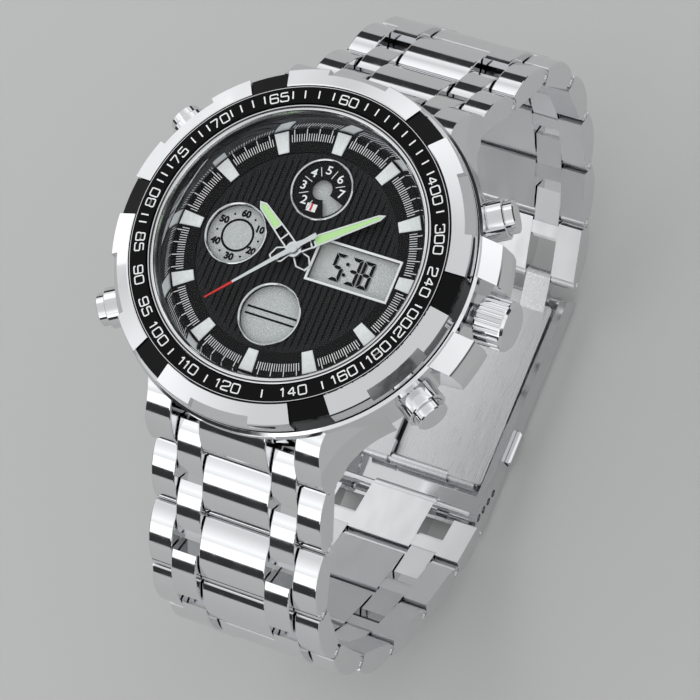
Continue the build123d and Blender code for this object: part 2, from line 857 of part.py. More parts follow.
def winding_stem():
    return radial(stem_radius, stem_start, stem_end)


def crown():
    body = radial(crown_radius, crown_start, crown_end)
    body = chamfer(body.edges().filter_by(GeomType.CIRCLE), crown_edge)
    flutes = []
    step = 360.0 / crown_flute_count
    for k in range(crown_flute_count):
        angle = math.radians(k * step)
        y = (crown_radius + crown_flute_inset) * math.cos(angle)
        z = (crown_radius + crown_flute_inset) * math.sin(angle)
        flute = radial(crown_flute_radius, crown_start - overrun, crown_end - crown_collar)
        flutes.append(Pos(0, y, z) * flute)
    body -= flutes
    body -= radial(crown_bore_radius, crown_start - overrun, crown_start + crown_bore_length)
    return body - radial(stem_radius + run_gap, crown_start, stem_end + run_gap)


# Pusher group

def outermost(edges):
    return edges.sort_by(lambda edge: math.hypot(edge.center().X, edge.center().Y))[-1]


def pusher_collar(angle):
    collar = radial(collar_radius, collar_start, collar_end, angle)
    rim = outermost(collar.edges().filter_by(GeomType.CIRCLE))
    collar = chamfer(rim, collar_edge)
    collar += radial(collar_foot_radius, collar_foot_start, collar_start, angle)
    collar -= radial(collar_bore_radius, collar_floor, collar_end + overrun, angle)
    return collar - radial(pusher_shaft_radius + run_gap, collar_foot_start - overrun, collar_end, angle)


def pusher(angle):
    cap = radial(pusher_cap_radius, pusher_cap_start, pusher_cap_end, angle)
    rim = outermost(cap.edges().filter_by(GeomType.CIRCLE))
    cap = chamfer(rim, pusher_edge)
    cap += radial(pusher_shaft_radius, pusher_clip_start, pusher_cap_start, angle)
    return cap + radial(pusher_clip_radius, pusher_clip_start, pusher_clip_start + pusher_clip_thick, angle)


# Quartz module

def cell_pockets(top_depth, foot_depth):
    large = Pos(cell_offset, 0, 0) * tube(cell_radius + slip_gap, 0, top_depth, foot_depth)
    small = Pos(-cell_offset, 0, 0) * tube(small_cell_radius + slip_gap, 0, top_depth, foot_depth)
    return [large, small]


def module():
    body = tube(module_radius, hour_pipe_radius + run_gap, module_top_depth, module_foot_depth)
    body -= radial(stem_hole_radius, stem_start - overrun, module_radius + overrun)
    return body - cell_pockets(module_foot_depth - cell_thick, module_foot_depth + overrun)


def module_spacer():
    top_depth = dial_depth + dial_thick + lcd_thick
    ring = tube(spacer_outer_radius, module_radius + seat_gap, top_depth, module_foot_depth)
    for angle in pusher_angles.values():
        ring -= radial(spacer_slot_radius, module_radius - overrun, spacer_outer_radius + overrun, angle)
    return ring - radial(stem_hole_radius, module_radius - overrun, spacer_outer_radius + overrun)


def circuit_board():
    top = module_foot_depth
    board = tube(board_radius, 0, top, top + board_thick)
    return board - cell_pockets(top - overrun, top + board_thick + overrun)


def button_cells():
    foot = module_foot_depth + board_thick
    top = module_foot_depth - cell_thick + seat_gap
    large = Pos(cell_offset, 0, 0) * tube(cell_radius, 0, top, foot)
    small = Pos(-cell_offset, 0, 0) * tube(small_cell_radius, 0, top, foot)
    return Compound(children=[large, small])


def cell_strap():
    top = module_foot_depth + board_thick
    place = Pos(0, 0, at_depth(top + strap_thick))
    strap = Box(2 * strap_reach, strap_width, strap_thick, align=(Align.CENTER, Align.CENTER, Align.MIN))
    return place * strap


def buzzer():
    return tube(buzzer_radius, 0, case_foot_depth - buzzer_thick, case_foot_depth)


# Bracelet

def walk(angles):
    # pin positions (out from the middle, height) along a strand that starts at the lug
    points = [(lug_pin_out, at_depth(lug_pin_depth))]
    for angle in angles:
        y, z = points[-1]
        turn = math.radians(angle)
        points.append((y + row_pitch * math.cos(turn), z - row_pitch * math.sin(turn)))
    return points


def barrel_outline(start, lip, floor, end, floor_end, shoulder, crown_height):
    # start and end are along the row, the face between them is a shallow arc
    middle = (lip + end) / 2
    face = ThreePointArc((0, lip, shoulder), (0, middle, crown_height), (0, end, shoulder))
    rest = Polyline([(0, end, shoulder), (0, end, 0), (0, floor_end, -floor), (0, start, -floor),
                     (0, start, min(block_step_height, shoulder)), (0, lip, min(block_lip_height, shoulder)),
                     (0, lip, shoulder)])
    return make_face(Curve() + [face, rest])


def column(start, end, far_end, with_knuckle=True):
    floor_end = far_end - floor_end_back + block_end_back
    outline = barrel_outline(block_start, block_lip, block_floor, far_end, floor_end,
                             block_shoulder, block_crown)
    body = Pos(start, 0, 0) * extrude(outline, amount=end - start, dir=(1, 0, 0))
    body = fillet(body.edges().filter_by(GeomType.CIRCLE), link_edge)
    if with_knuckle:
        body += Pos((start + end) / 2, 0, 0) * across(knuckle_radius, row_pitch, 0, (end - start) / 2)
    return body


def tab_pair(tilt):
    start = centre_half_width + column_gap
    reach, foot = tab_half_length, tab_half_length - column_gap
    face = ThreePointArc((0, -reach, tab_shoulder), (0, 0, tab_crown), (0, reach, tab_shoulder))
    rest = Polyline([(0, reach, tab_shoulder), (0, foot, -tab_floor),
                     (0, -foot, -tab_floor), (0, -reach, tab_shoulder)])
    body = extrude(make_face(Curve() + [face, rest]), amount=tab_width, dir=(1, 0, 0))
    body = Pos(start, 0, 0) * Rot(tilt, 0, 0) * body
    body = fillet(body.edges().filter_by(GeomType.CIRCLE), link_edge)
    return body, mirror(body, about=Plane.YZ)


def link_row(tilt, last=False):
    far_end = row_pitch - block_end_back
    outer_far_end = row_pitch - last_block_back if last else far_end
    outer_start = centre_half_width + tab_width + 2 * column_gap
    centre = column(-centre_half_width, centre_half_width, far_end)
    outer = column(outer_start, band_half_width, outer_far_end, with_knuckle=not last)
    right, left = tab_pair(tilt)
    bridge = slab([(bridge_start, -bridge_floor), (bridge_end, -bridge_floor), (bridge_end, bridge_top),
                   (bridge_start, bridge_top)], outer_start + overrun)
    row = centre + outer + mirror(outer, about=Plane.YZ) + right + left + bridge
    row -= across(pin_radius + run_gap, 0, 0, band_half_width)
    return row - across(pin_radius, row_pitch, 0, band_half_width + overrun)


def row_pin(last=False):
    half = band_half_width - pin_end_gap
    if last:
        half = cover_half_width - cover_wall - bar_tip_gap
    return across(pin_radius, row_pitch, 0, half)


def place_row(side, point, angle):
    spin = Rot(0, 0, 0) if side > 0 else Rot(0, 0, 180)
    return spin * Pos(0, point[0], point[1]) * Rot(-angle, 0, 0)


def save_strand(name, side, angles, last_is_narrow):
    points = walk(angles)
    for k, angle in enumerate(angles):
        tilt = 0 if k == 0 else (angle - angles[k - 1]) / 2
        last = last_is_narrow and k == len(angles) - 1
        place = place_row(side, points[k], angle)
        row = Compound(children=[place * link_row(tilt, last), place * row_pin(last)])
        save(name + str(k + 1), row)


def lug_pins():
    pins = [across(pin_radius, side * lug_pin_out, at_depth(lug_pin_depth), band_half_width - pin_end_gap)
            for side in (1, -1)]
    return Compound(children=pins)


# Clasp

tab_middle = centre_half_width + column_gap + tab_width / 2
hinge_c = walk(row_angles_12)[-1]
hinge_d = (-walk(row_angles_6)[-1][0], walk(row_angles_6)[-1][1])
hinge_a = (hinge_c[0] - hinge_a_back, hinge_a_rise)
hinge_b = (hinge_d[0] + hinge_b_in, hinge_b_rise)
button_y = hinge_d[0] + button_in


def clasp_cover():
    start = hinge_d[0] - cover_over_6
    end = hinge_a[0] + cover_over_12
    plate = Box(2 * cover_half_width, end - start, cover_plate, align=(Align.CENTER, Align.MIN, Align.MIN))
    plate = Pos(0, start, 0) * plate
    plate = chamfer(plate.edges().group_by(Axis.Z)[0], cover_edge)
    outline = [(end, cover_plate), (end, hinge_a[1]), (hinge_a[0], cover_wall_top),
               (hinge_d[0], hinge_d[1] + cover_wall_end_6), (hinge_d[0] - cover_wall_end_6, hinge_d[1]),
               (hinge_d[0] - cover_wall_end_6, cover_plate / 2), (end - cover_edge, cover_plate / 2)]
    middle = cover_half_width - cover_wall / 2
    body = plate + [slab(outline, cover_wall / 2, side * middle) for side in (1, -1)]
    body -= across(pin_radius, hinge_a[0], hinge_a[1], middle)
    for k in range(adjust_hole_count):
        y, z = hinge_d[0] + k * adjust_hole_step, hinge_d[1] - k * adjust_hole_drop
        body -= across(adjust_hole_radius, y, z, cover_half_width + overrun)
    window = Box(2 * (cover_half_width + overrun), button_length + 2 * slip_gap, button_height + 2 * slip_gap)
    body -= Pos(0, button_y, button_rise) * window
    near, far = button_y - button_length / 2, button_y + button_length / 2
    foot = cover_plate / 2
    outline = [(near, foot), (far, foot), (far, bracket_height), (near, bracket_height)]
    middle = bracket_inner + bracket_thick / 2
    return body + [slab(outline, bracket_thick / 2, side * middle) for side in (1, -1)]


def clasp_button(side):
    inner = cover_half_width - cover_wall - seat_gap
    head = Box(cover_wall + button_proud + seat_gap, button_length, button_height,
               align=(Align.MIN, Align.CENTER, Align.CENTER))
    head = Pos(inner, button_y, button_rise) * head
    head = chamfer(head.faces().sort_by(Axis.X)[-1].edges(), button_edge)
    flange_length = button_length + 2 * button_flange
    flange = Box(button_flange_thick, flange_length, button_height + 2 * button_flange_lip,
                 align=(Align.MAX, Align.CENTER, Align.CENTER))
    head += Pos(inner, button_y, button_rise) * flange
    return head if side > 0 else mirror(head, about=Plane.YZ)


def blade_1():
    # the middle blade, hinged to the cover at its 12 o'clock end and to the inner blade at the other
    top = blade_1_rise + blade_thick
    near, far = hinge_b[0], hinge_a[0]
    plate = slab([(near, blade_1_rise), (far, blade_1_rise), (far, top), (near, top)], blade_1_half_width)
    for hinge in (hinge_a, hinge_b):
        plate += across(clasp_knuckle_radius, hinge[0], hinge[1], blade_1_half_width)
        plate -= across(pin_radius + run_gap, hinge[0], hinge[1], cover_half_width)
    return plate


def blade_2():
    # the inner blade, a slotted plate that carries the 12 o'clock strand
    top = blade_2_rise + blade_thick
    arm_foot = hinge_c[0] - blade_arm_back
    near = hinge_b[0]
    plate = slab([(near, blade_2_rise), (arm_foot, blade_2_rise), (arm_foot, top), (near, top)],
                 blade_2_half_width)
    plate = fillet(plate.edges().filter_by(Axis.Z), blade_corner)
    slot_start = hinge_b[0] + blade_2_slot_gap
    slot_end = arm_foot - blade_slot_back
    slot = Box(2 * centre_half_width, slot_end - slot_start, top + overrun)
    plate -= Pos(0, (slot_start + slot_end) / 2, blade_2_rise) * slot
    near, far, over = hinge_b[0] - overrun, slot_start + overrun, top + overrun
    plate -= slab([(near, 0), (far, 0), (far, over), (near, over)], blade_1_half_width + slip_gap)
    arm = [(arm_foot - blade_arm_run, blade_2_rise), (arm_foot, blade_2_rise),
           (hinge_c[0] + blade_arm_side, hinge_c[1] - knuckle_radius),
           (hinge_c[0] - blade_arm_side, hinge_c[1] + knuckle_radius), (arm_foot - blade_arm_width, top)]
    for x in (tab_middle, -tab_middle):
        plate += Pos(x, 0, 0) * across(clasp_knuckle_radius, hinge_b[0], hinge_b[1], tab_width / 2)
        plate += slab(arm, tab_width / 2, x)
        plate += Pos(x, 0, 0) * across(knuckle_radius, hinge_c[0], hinge_c[1], tab_width / 2)
    plate -= across(pin_radius + run_gap, hinge_c[0], hinge_c[1], cover_half_width)
    return plate - across(pin_radius, hinge_b[0], hinge_b[1], cover_half_width)


def hinge_pin_a():
    return across(pin_radius, hinge_a[0], hinge_a[1], cover_half_width - cover_wall / 2)


def hinge_pin_b():
    return across(pin_radius, hinge_b[0], hinge_b[1], centre_half_width + tab_width)


save("mid_case", mid_case())
save("case_back", case_back())
save("back_gasket", back_gasket())
save("bezel_ring", bezel_ring())
save("bezel_segments", bezel_segments())
save("bezel_insert", bezel_insert())
save("crystal", crystal())
save("crystal_ring", crystal_ring())
save("inner_wall_ring", inner_wall_ring())
save("dial", dial())
save("chapter_ring", chapter_ring())
save("hour_markers", hour_markers())
save("subdial_rings", subdial_rings())
save("window_frame", window_frame())
save("day_mask", day_mask())
save("day_lcd", round_lcd(0, subdial_offset))
save("seconds_lcd", round_lcd(-subdial_offset, 0))
save("date_lcd", round_lcd(0, -subdial_offset))
save("time_lcd", time_lcd())
save("hour_hand", hour_hand())
save("hour_lume", hour_lume())
save("minute_hand", minute_hand())
save("minute_lume", minute_lume())
save("second_hand", second_hand())
save("crown_tube", crown_tube())
save("winding_stem", winding_stem())
save("crown", crown())
save("pusher_collars", Compound(children=[pusher_collar(a) for a in pusher_angles.values()]))
for name, angle in pusher_angles.items():
    save(name, pusher(angle))
save("quartz_module", module())
save("module_spacer", module_spacer())
save("circuit_board", circuit_board())
save("button_cells", button_cells())
save("cell_strap", cell_strap())
save("buzzer", buzzer())
save("lug_pins", lug_pins())
save_strand("link_12_", 1, row_angles_12, last_is_narrow=False)
save_strand("link_6_", -1, row_angles_6, last_is_narrow=True)
save("clasp_cover", Compound(children=[clasp_cover(), hinge_pin_a()]))
save("clasp_blade_1", blade_1())
save("clasp_blade_2", Compound(children=[blade_2(), hinge_pin_b()]))
save("clasp_button_right", clasp_button(1))
save("clasp_button_left", clasp_button(-1))
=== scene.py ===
import bpy
import bmesh
import math
from mathutils import Matrix, Vector


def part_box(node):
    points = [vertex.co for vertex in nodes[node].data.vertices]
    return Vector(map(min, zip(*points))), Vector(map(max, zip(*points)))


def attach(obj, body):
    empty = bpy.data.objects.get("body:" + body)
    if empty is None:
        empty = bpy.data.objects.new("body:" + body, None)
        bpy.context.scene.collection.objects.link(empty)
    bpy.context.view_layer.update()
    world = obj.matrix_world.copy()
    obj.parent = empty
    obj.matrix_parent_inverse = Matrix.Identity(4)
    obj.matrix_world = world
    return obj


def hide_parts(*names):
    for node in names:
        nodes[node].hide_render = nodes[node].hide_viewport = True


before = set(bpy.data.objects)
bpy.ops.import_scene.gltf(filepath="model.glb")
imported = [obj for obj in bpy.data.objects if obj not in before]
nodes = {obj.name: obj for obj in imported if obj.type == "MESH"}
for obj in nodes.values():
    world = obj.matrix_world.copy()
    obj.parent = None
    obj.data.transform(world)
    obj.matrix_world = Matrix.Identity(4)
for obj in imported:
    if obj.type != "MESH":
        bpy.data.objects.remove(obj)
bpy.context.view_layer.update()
mm = 0.001
print("frame loaded:", len(nodes), "nodes")


# Colours and nodes

def linear(hexColour):
    # sRGB hex to the linear values that shaders take
    values = [int(hexColour[i:i + 2], 16) / 255 for i in (1, 3, 5)]
    return [v / 12.92 if v <= 0.04045 else ((v + 0.055) / 1.055) ** 2.4 for v in values] + [1.0]


def addNode(tree, kind, settings=None, links=None):
    # settings: properties by name, or sockets by name or number; links: input socket -> output socket
    node = tree.nodes.new(kind)
    for key, value in (settings or {}).items():
        if isinstance(key, int):
            node.inputs[key].default_value = value
        elif key in node.inputs and not hasattr(node, key):
            node.inputs[key].default_value = value
        else:
            setattr(node, key, value)
    for key, output in (links or {}).items():
        tree.links.new(output, node.inputs[key])
    return node


shaderSockets = {"colour": "Base Color", "metallic": "Metallic", "roughness": "Roughness", "ior": "IOR"}


def newMaterial(name, **settings):
    material = bpy.data.materials.new(name)
    material.use_nodes = True
    tree = material.node_tree
    shader = tree.nodes["Principled BSDF"]
    for key, value in settings.items():
        shader.inputs[shaderSockets[key]].default_value = linear(value) if key == "colour" else value
    return material, tree, shader


# most of a noise lies between these two values
noiseLow, noiseHigh = 0.35, 0.65


def grain(tree, size, detail=3.0, stretch=(1, 1, 1)):
    # noise whose spots are about this many millimetres across, drawn out where stretch is small
    point = addNode(tree, "ShaderNodeTexCoord").outputs["Object"]
    scaled = addNode(tree, "ShaderNodeMapping", {"Scale": stretch}, {0: point})
    noise = addNode(tree, "ShaderNodeTexNoise", {"Scale": 1 / (size * mm), "Detail": detail},
                    {"Vector": scaled.outputs[0]})
    return noise.outputs["Fac"]


# Plain finishes, each of one colour, with a noise that varies its gloss, its surface or both

# the slight tooth of pad printing, and the skin that a mould leaves
printTooth = {"roughness": 0.5, "spot": 0.05, "detail": 2.0, "depth": 0.003, "strength": 0.5}
mouldSkin = {"spot": 0.3, "depth": 0.01, "strength": 0.4}
plainFinishes = {
    # brushed spring steel of the clasp blades and pins, with hairlines along the strap
    "satin_steel": {"colour": "#D8D9DA", "metallic": 1.0, "spot": 0.12, "stretch": (1, 0.03, 1),
                    "rough": (0.24, 0.4), "depth": 0.01, "strength": 0.4},
    # black ion plating over fine turned marks: nearly black, with a soft grey sheen
    "black_plating": {"colour": "#040405", "ior": 1.22, "spot": 0.25, "rough": (0.09, 0.15), "depth": 0.001,
                      "strength": 0.3},
    # matt black dial paint with a very fine grain
    "dial_lacquer": {"colour": "#0C0C0D", "ior": 1.25, "spot": 0.2, "detail": 2.0, "rough": (0.36, 0.5),
                     "depth": 0.001, "strength": 0.12},
    # chromed wall, black where it shows the dial and bright where it shows the ticks and markers again
    "chromed_wall": {"colour": "#CDCED0", "metallic": 1.0, "spot": 0.5, "rough": (0.01, 0.022)},
    # dense matt prints on the dial and the numbered ring
    "white_print": {"colour": "#FAFAFA", **printTooth},
    "red_print": {"colour": "#D6302C", **printTooth},
    # bright silver plating of the stamped and polished hands
    "hand_silver": {"colour": "#F0F1F2", "metallic": 1.0, "spot": 0.3, "rough": (0.16, 0.26)},
    # driven segments, almost black, and the soft shadow that they throw on the reflector behind the glass
    "lcd_segment": {"colour": "#050506", "ior": 1.25, "spot": 0.1, "rough": (0.35, 0.45)},
    "lcd_segment_shadow": {"colour": "#8A8B8C", "spot": 0.1, "rough": (0.45, 0.55)},
    # lacquered brass of the sounder disc
    "sounder_brass": {"colour": "#C9A75C", "metallic": 1.0, "spot": 0.6, "rough": (0.24, 0.4)},
    # moulded parts inside the case, and the crystal's black seal
    "moulded_plastic": {"colour": "#3A3B3D", "rough": (0.44, 0.58), **mouldSkin},
    "board_resin": {"colour": "#1F5A33", "rough": (0.34, 0.48), **mouldSkin},
    "moulded_rubber": {"colour": "#161616", "rough": (0.64, 0.78), **mouldSkin},
    "seal_rubber": {"colour": "#0A0A0A", "rough": (0.34, 0.48), **mouldSkin}}


def plainFinish(name):
    s = plainFinishes[name]
    material, tree, shader = newMaterial(name, **{key: s[key] for key in shaderSockets if key in s})
    noise = grain(tree, s["spot"], **{key: s[key] for key in ("detail", "stretch") if key in s})
    if "rough" in s:
        low, high = s["rough"]
        gloss = addNode(tree, "ShaderNodeMapRange", {1: noiseLow, 2: noiseHigh, 3: low, 4: high},
                        {0: noise})
        tree.links.new(gloss.outputs[0], shader.inputs["Roughness"])
    if "depth" in s:
        skin = addNode(tree, "ShaderNodeBump", {"Strength": s["strength"], "Distance": s["depth"] * mm},
                       {"Height": noise})
        tree.links.new(skin.outputs[0], shader.inputs["Normal"])
    return material


# Mottled finishes, where a fine noise runs between two shades

mottledFinishes = {
    # raised blocks filled with dense white lume, a touch uneven
    "white_lume": {"dark": "#F4F5F4", "light": "#FEFEFE", "roughness": 0.38, "spot": 0.4, "detail": 3.0,
                   "from": noiseLow, "to": noiseHigh},
    # light green luminous paint, powdery
    "green_lume": {"dark": "#BCEC9A", "light": "#D0F6B0", "roughness": 0.6, "spot": 0.12, "detail": 3.0,
                   "from": noiseLow, "to": noiseHigh},
    # liquid crystal over its reflector: pale grey with a fine sparkle, drawn coarser than it is to show
    "lcd_reflector": {"dark": "#A0A1A1", "light": "#E4E5E4", "roughness": 0.35, "spot": 0.13, "detail": 4.0,
                      "from": 0.32, "to": 0.68}}


def mottledFinish(name):
    s = mottledFinishes[name]
    material, tree, shader = newMaterial(name, roughness=s["roughness"])
    noise = grain(tree, s["spot"], s["detail"])
    share = addNode(tree, "ShaderNodeMapRange", {1: s["from"], 2: s["to"]}, {0: noise})
    shade = addNode(tree, "ShaderNodeMix",
                    {"data_type": "RGBA", 6: linear(s["dark"]), 7: linear(s["light"])},
                    {0: share.outputs[0]})
    tree.links.new(shade.outputs[2], shader.inputs["Base Color"])
    return material


# Buffed steel of the case and the bracelet

steelLook = {"rough": (0.04, 0.1), "wipeDetail": 4.0, "waviness": 6.0, "waveDetail": 1.0, "waveDepth": 0.008,
             "satin": 0.3, "satinBelow": -0.6, "satinAbove": -0.3}
steelSorts = {
    "buffed_steel": {"colour": "#E2E3E4", "wipe": 1.6, "stretch": (1, 0.35, 1), "satinInside": False},
    "bracelet_steel": {"colour": "#E4E5E6", "wipe": 1.8, "stretch": (1, 0.4, 0.4), "satinInside": True}}


def satinInside(tree, gloss):
    # the side against the wrist, which faces the middle of the bracelet's loop, is satin
    s = steelLook
    point = addNode(tree, "ShaderNodeTexCoord")
    middle = (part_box("mid_case")[0].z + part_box("clasp_cover")[1].z) / 2
    away = addNode(tree, "ShaderNodeVectorMath", {"operation": "SUBTRACT", 1: (0, 0, middle)},
                   {0: point.outputs["Object"]})
    flat = addNode(tree, "ShaderNodeVectorMath", {"operation": "MULTIPLY", 1: (0, 1, 1)},
                   {0: away.outputs[0]})
    unit = addNode(tree, "ShaderNodeVectorMath", {"operation": "NORMALIZE"}, {0: flat.outputs[0]})
    facing = addNode(tree, "ShaderNodeVectorMath", {"operation": "DOT_PRODUCT"},
                     {0: unit.outputs[0], 1: point.outputs["Normal"]})
    satin = addNode(tree, "ShaderNodeMapRange",
                    {1: s["satinBelow"], 2: s["satinAbove"], 3: s["satin"], 4: 0.0},
                    {0: facing.outputs["Value"]})
    return addNode(tree, "ShaderNodeMath", {"operation": "ADD"}, {0: satin.outputs[0], 1: gloss}).outputs[0]


def buffedSteel(name):
    # buffed 316L: a clear mirror with faint wipe marks that show only in the highlights
    s = steelLook
    sort = steelSorts[name]
    low, high = s["rough"]
    material, tree, shader = newMaterial(name, colour=sort["colour"], metallic=1.0)
    wipes = grain(tree, sort["wipe"], s["wipeDetail"], sort["stretch"])
    gloss = addNode(tree, "ShaderNodeMapRange", {1: noiseLow, 2: noiseHigh, 3: low, 4: high},
                    {0: wipes}).outputs[0]
    if sort["satinInside"]:
        gloss = satinInside(tree, gloss)
    tree.links.new(gloss, shader.inputs["Roughness"])
    waves = addNode(tree, "ShaderNodeBump", {"Strength": 1.0, "Distance": s["waveDepth"] * mm},
                    {"Height": grain(tree, s["waviness"], s["waveDetail"])})
    tree.links.new(waves.outputs[0], shader.inputs["Normal"])
    return material


# Ribbed dial, second hand and crystal

# dark and light: how far from a groove's middle its painted shade ends and the rib's own colour begins
dialRibs = {"rib": "#222223", "groove": "#020203", "roughness": 0.4, "ior": 1.25, "pitch": 0.85,
            "dark": 0.11, "light": 0.17, "radius": 12.1, "edge": 0.02, "round": 0.03, "strength": 0.5}


def ribbedLacquer():
    # the dial's paint on its ribbed middle, with painted shade that makes the grooves darker than the ribs,
    # and each rib a little rounded
    s = dialRibs
    material, tree, shader = newMaterial("ribbed_lacquer_groove_shade", roughness=s["roughness"], ior=s["ior"])
    half = s["pitch"] / 2 * mm
    point = addNode(tree, "ShaderNodeTexCoord").outputs["Object"]
    across = addNode(tree, "ShaderNodeSeparateXYZ", None, {0: point})
    fromGroove = addNode(tree, "ShaderNodeMath", {"operation": "PINGPONG", 1: half},
                         {0: across.outputs[0]}).outputs[0]
    onRib = addNode(tree, "ShaderNodeMapRange", {1: s["dark"] * mm, 2: s["light"] * mm}, {0: fromGroove})
    flat = addNode(tree, "ShaderNodeVectorMath", {"operation": "MULTIPLY", 1: (1, 1, 0)}, {0: point})
    reach = addNode(tree, "ShaderNodeVectorMath", {"operation": "LENGTH"}, {0: flat.outputs[0]})
    plain = addNode(tree, "ShaderNodeMapRange", {1: s["radius"] * mm, 2: (s["radius"] + s["edge"]) * mm},
                    {0: reach.outputs["Value"]})
    top = addNode(tree, "ShaderNodeMath", {"operation": "MAXIMUM"},
                  {0: onRib.outputs[0], 1: plain.outputs[0]})
    # the groove colour is painted shade, near black where shadow would gather in the grooves
    shade = addNode(tree, "ShaderNodeMix",
                    {"data_type": "RGBA", 6: linear(s["groove"]), 7: linear(s["rib"])}, {0: top.outputs[0]})
    tree.links.new(shade.outputs[2], shader.inputs["Base Color"])
    hump = addNode(tree, "ShaderNodeMapRange", {1: 0.0, 2: half}, {0: fromGroove})
    crown = addNode(tree, "ShaderNodeMath", {"operation": "SQRT"}, {0: hump.outputs[0]})
    ribs = addNode(tree, "ShaderNodeBump", {"Strength": s["strength"], "Distance": s["round"] * mm},
                   {"Height": crown.outputs[0]})
    tree.links.new(ribs.outputs[0], shader.inputs["Normal"])
    return material


secondHandLook = {"steel": "#E6E7E8", "red": "#D8302A", "roughness": 0.22, "redFrom": 8.4, "redEdge": 0.05}


def secondHandPaint():
    # polished needle whose tip is painted red
    s = secondHandLook
    material, tree, shader = newMaterial("second_hand_paint", roughness=s["roughness"])
    point = addNode(tree, "ShaderNodeTexCoord").outputs["Object"]
    flat = addNode(tree, "ShaderNodeVectorMath", {"operation": "MULTIPLY", 1: (1, 1, 0)}, {0: point})
    reach = addNode(tree, "ShaderNodeVectorMath", {"operation": "LENGTH"}, {0: flat.outputs[0]})
    tip = addNode(tree, "ShaderNodeMapRange", {1: s["redFrom"] * mm, 2: (s["redFrom"] + s["redEdge"]) * mm},
                  {0: reach.outputs["Value"]}).outputs[0]
    shade = addNode(tree, "ShaderNodeMix",
                    {"data_type": "RGBA", 6: linear(s["steel"]), 7: linear(s["red"])}, {0: tip})
    tree.links.new(shade.outputs[2], shader.inputs["Base Color"])
    bare = addNode(tree, "ShaderNodeMath", {"operation": "SUBTRACT", 0: 1.0}, {1: tip})
    tree.links.new(bare.outputs[0], shader.inputs["Metallic"])
    return material


crystalLook = {"tint": "#FBFCFC", "roughness": 0.01, "ior": 1.16}


def crystalGlass():
    # flat mineral glass with an anti-reflection layer, so its IOR is low and only a faint gloss shows
    s = crystalLook
    material, tree, shader = newMaterial("mineral_crystal")
    tree.nodes.remove(shader)
    clear = addNode(tree, "ShaderNodeBsdfTransparent", {"Color": linear(s["tint"])})
    gloss = addNode(tree, "ShaderNodeBsdfGlossy", {"Roughness": s["roughness"]})
    # faces mirror only from outside, because light that mirrors inside the glass would be trapped there
    rim = addNode(tree, "ShaderNodeFresnel", {"IOR": s["ior"]})
    inside = addNode(tree, "ShaderNodeNewGeometry").outputs["Backfacing"]
    outside = addNode(tree, "ShaderNodeMath", {"operation": "SUBTRACT", 0: 1.0}, {1: inside})
    share = addNode(tree, "ShaderNodeMath", {"operation": "MULTIPLY"},
                    {0: rim.outputs[0], 1: outside.outputs[0]})
    mix = addNode(tree, "ShaderNodeMixShader", None,
                  {0: share.outputs[0], 1: clear.outputs[0], 2: gloss.outputs[0]})
    tree.links.new(mix.outputs[0], tree.nodes["Material Output"].inputs["Surface"])
    return material


def makeFinishes():
    makers = {plainFinish: plainFinishes, mottledFinish: mottledFinishes, buffedSteel: steelSorts}
    made = {name: maker(name) for maker, names in makers.items() for name in names}
    made["ribbed_lacquer_groove_shade"] = ribbedLacquer()
    made["second_hand_paint"] = secondHandPaint()
    made["mineral_crystal"] = crystalGlass()
    print("finishes made:", len(made))
    return made


# Finishes on the solids; the links take the bracelet's steel, and what isn't listed is buffed

solidFinishes = {
    "black_plating": ("bezel_ring", "bezel_insert"),
    "chromed_wall": ("inner_wall_ring",),
    "mineral_crystal": ("crystal",),
    "ribbed_lacquer_groove_shade": ("dial",),
    "dial_lacquer": ("chapter_ring", "day_mask"),
    "white_lume": ("hour_markers",),
    "white_print": ("window_frame",),
    "lcd_reflector": ("day_lcd", "seconds_lcd", "date_lcd", "time_lcd"),
    "hand_silver": ("hour_hand", "minute_hand"),
    "green_lume": ("hour_lume", "minute_lume"),
    "second_hand_paint": ("second_hand",),
    "moulded_plastic": ("quartz_module", "module_spacer"),
    "board_resin": ("circuit_board",),
    "sounder_brass": ("buzzer",),
    "moulded_rubber": ("back_gasket",),
    "satin_steel": ("button_cells", "cell_strap", "crown_tube", "winding_stem", "lug_pins", "clasp_blade_1",
                    "clasp_blade_2")}


def finishSolids(finishes):
    finishOf = {node: finish for finish, group in solidFinishes.items() for node in group}
    for name, item in nodes.items():
        finish = finishOf.get(name, "bracelet_steel" if name.startswith("link_") else "buffed_steel")
        item.data.materials.clear()
        item.data.materials.append(finishes[finish])
    print("finishes on the solids:", len(nodes))


# Shapes that the prints and the displays share

dotSides = 12


def meshPiece(name, bm, finish):
    mesh = bpy.data.meshes.new(name)
    bm.to_mesh(mesh)
    bm.free()
    mesh.materials.append(finish)
    piece = bpy.data.objects.new(name, mesh)
    bpy.context.collection.objects.link(piece)
    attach(piece, "case")
    return piece


def clockSpot(angle, radius):
    # a place on a circle, by its angle from 12 in degrees and its radius in millimetres
    turn = math.radians(angle)
    return Vector((math.sin(turn), math.cos(turn), 0)) * radius * mm


def clockPlace(angle, radius, level):
    # the same place at a level, with +Y pointing away from the dial's middle
    turn = Matrix.Rotation(-math.radians(angle), 4, "Z")
    return turn @ Matrix.Translation((0, radius * mm, level))


def addBlock(bm, matrix, width, length, height):
    # a thin block whose near end is at the matrix's origin and which runs along +Y
    size = Matrix.Diagonal((width * mm, length * mm, height * mm, 1))
    middle = Matrix.Translation((0, length * mm / 2, height * mm / 2))
    bmesh.ops.create_cube(bm, size=1, matrix=matrix @ middle @ size)


def addDot(bm, matrix, radius):
    bmesh.ops.create_circle(bm, cap_ends=True, segments=dotSides, radius=radius * mm, matrix=matrix)


def addRing(bm, matrix, inner, outer, sides):
    # a flat ring between two circles
    loops = []
    for radius in (inner, outer):
        made = bmesh.ops.create_circle(bm, segments=sides, radius=radius * mm, matrix=matrix)
        loops += dict.fromkeys(edge for vert in made["verts"] for edge in vert.link_edges)
    bmesh.ops.bridge_loops(bm, edges=loops)


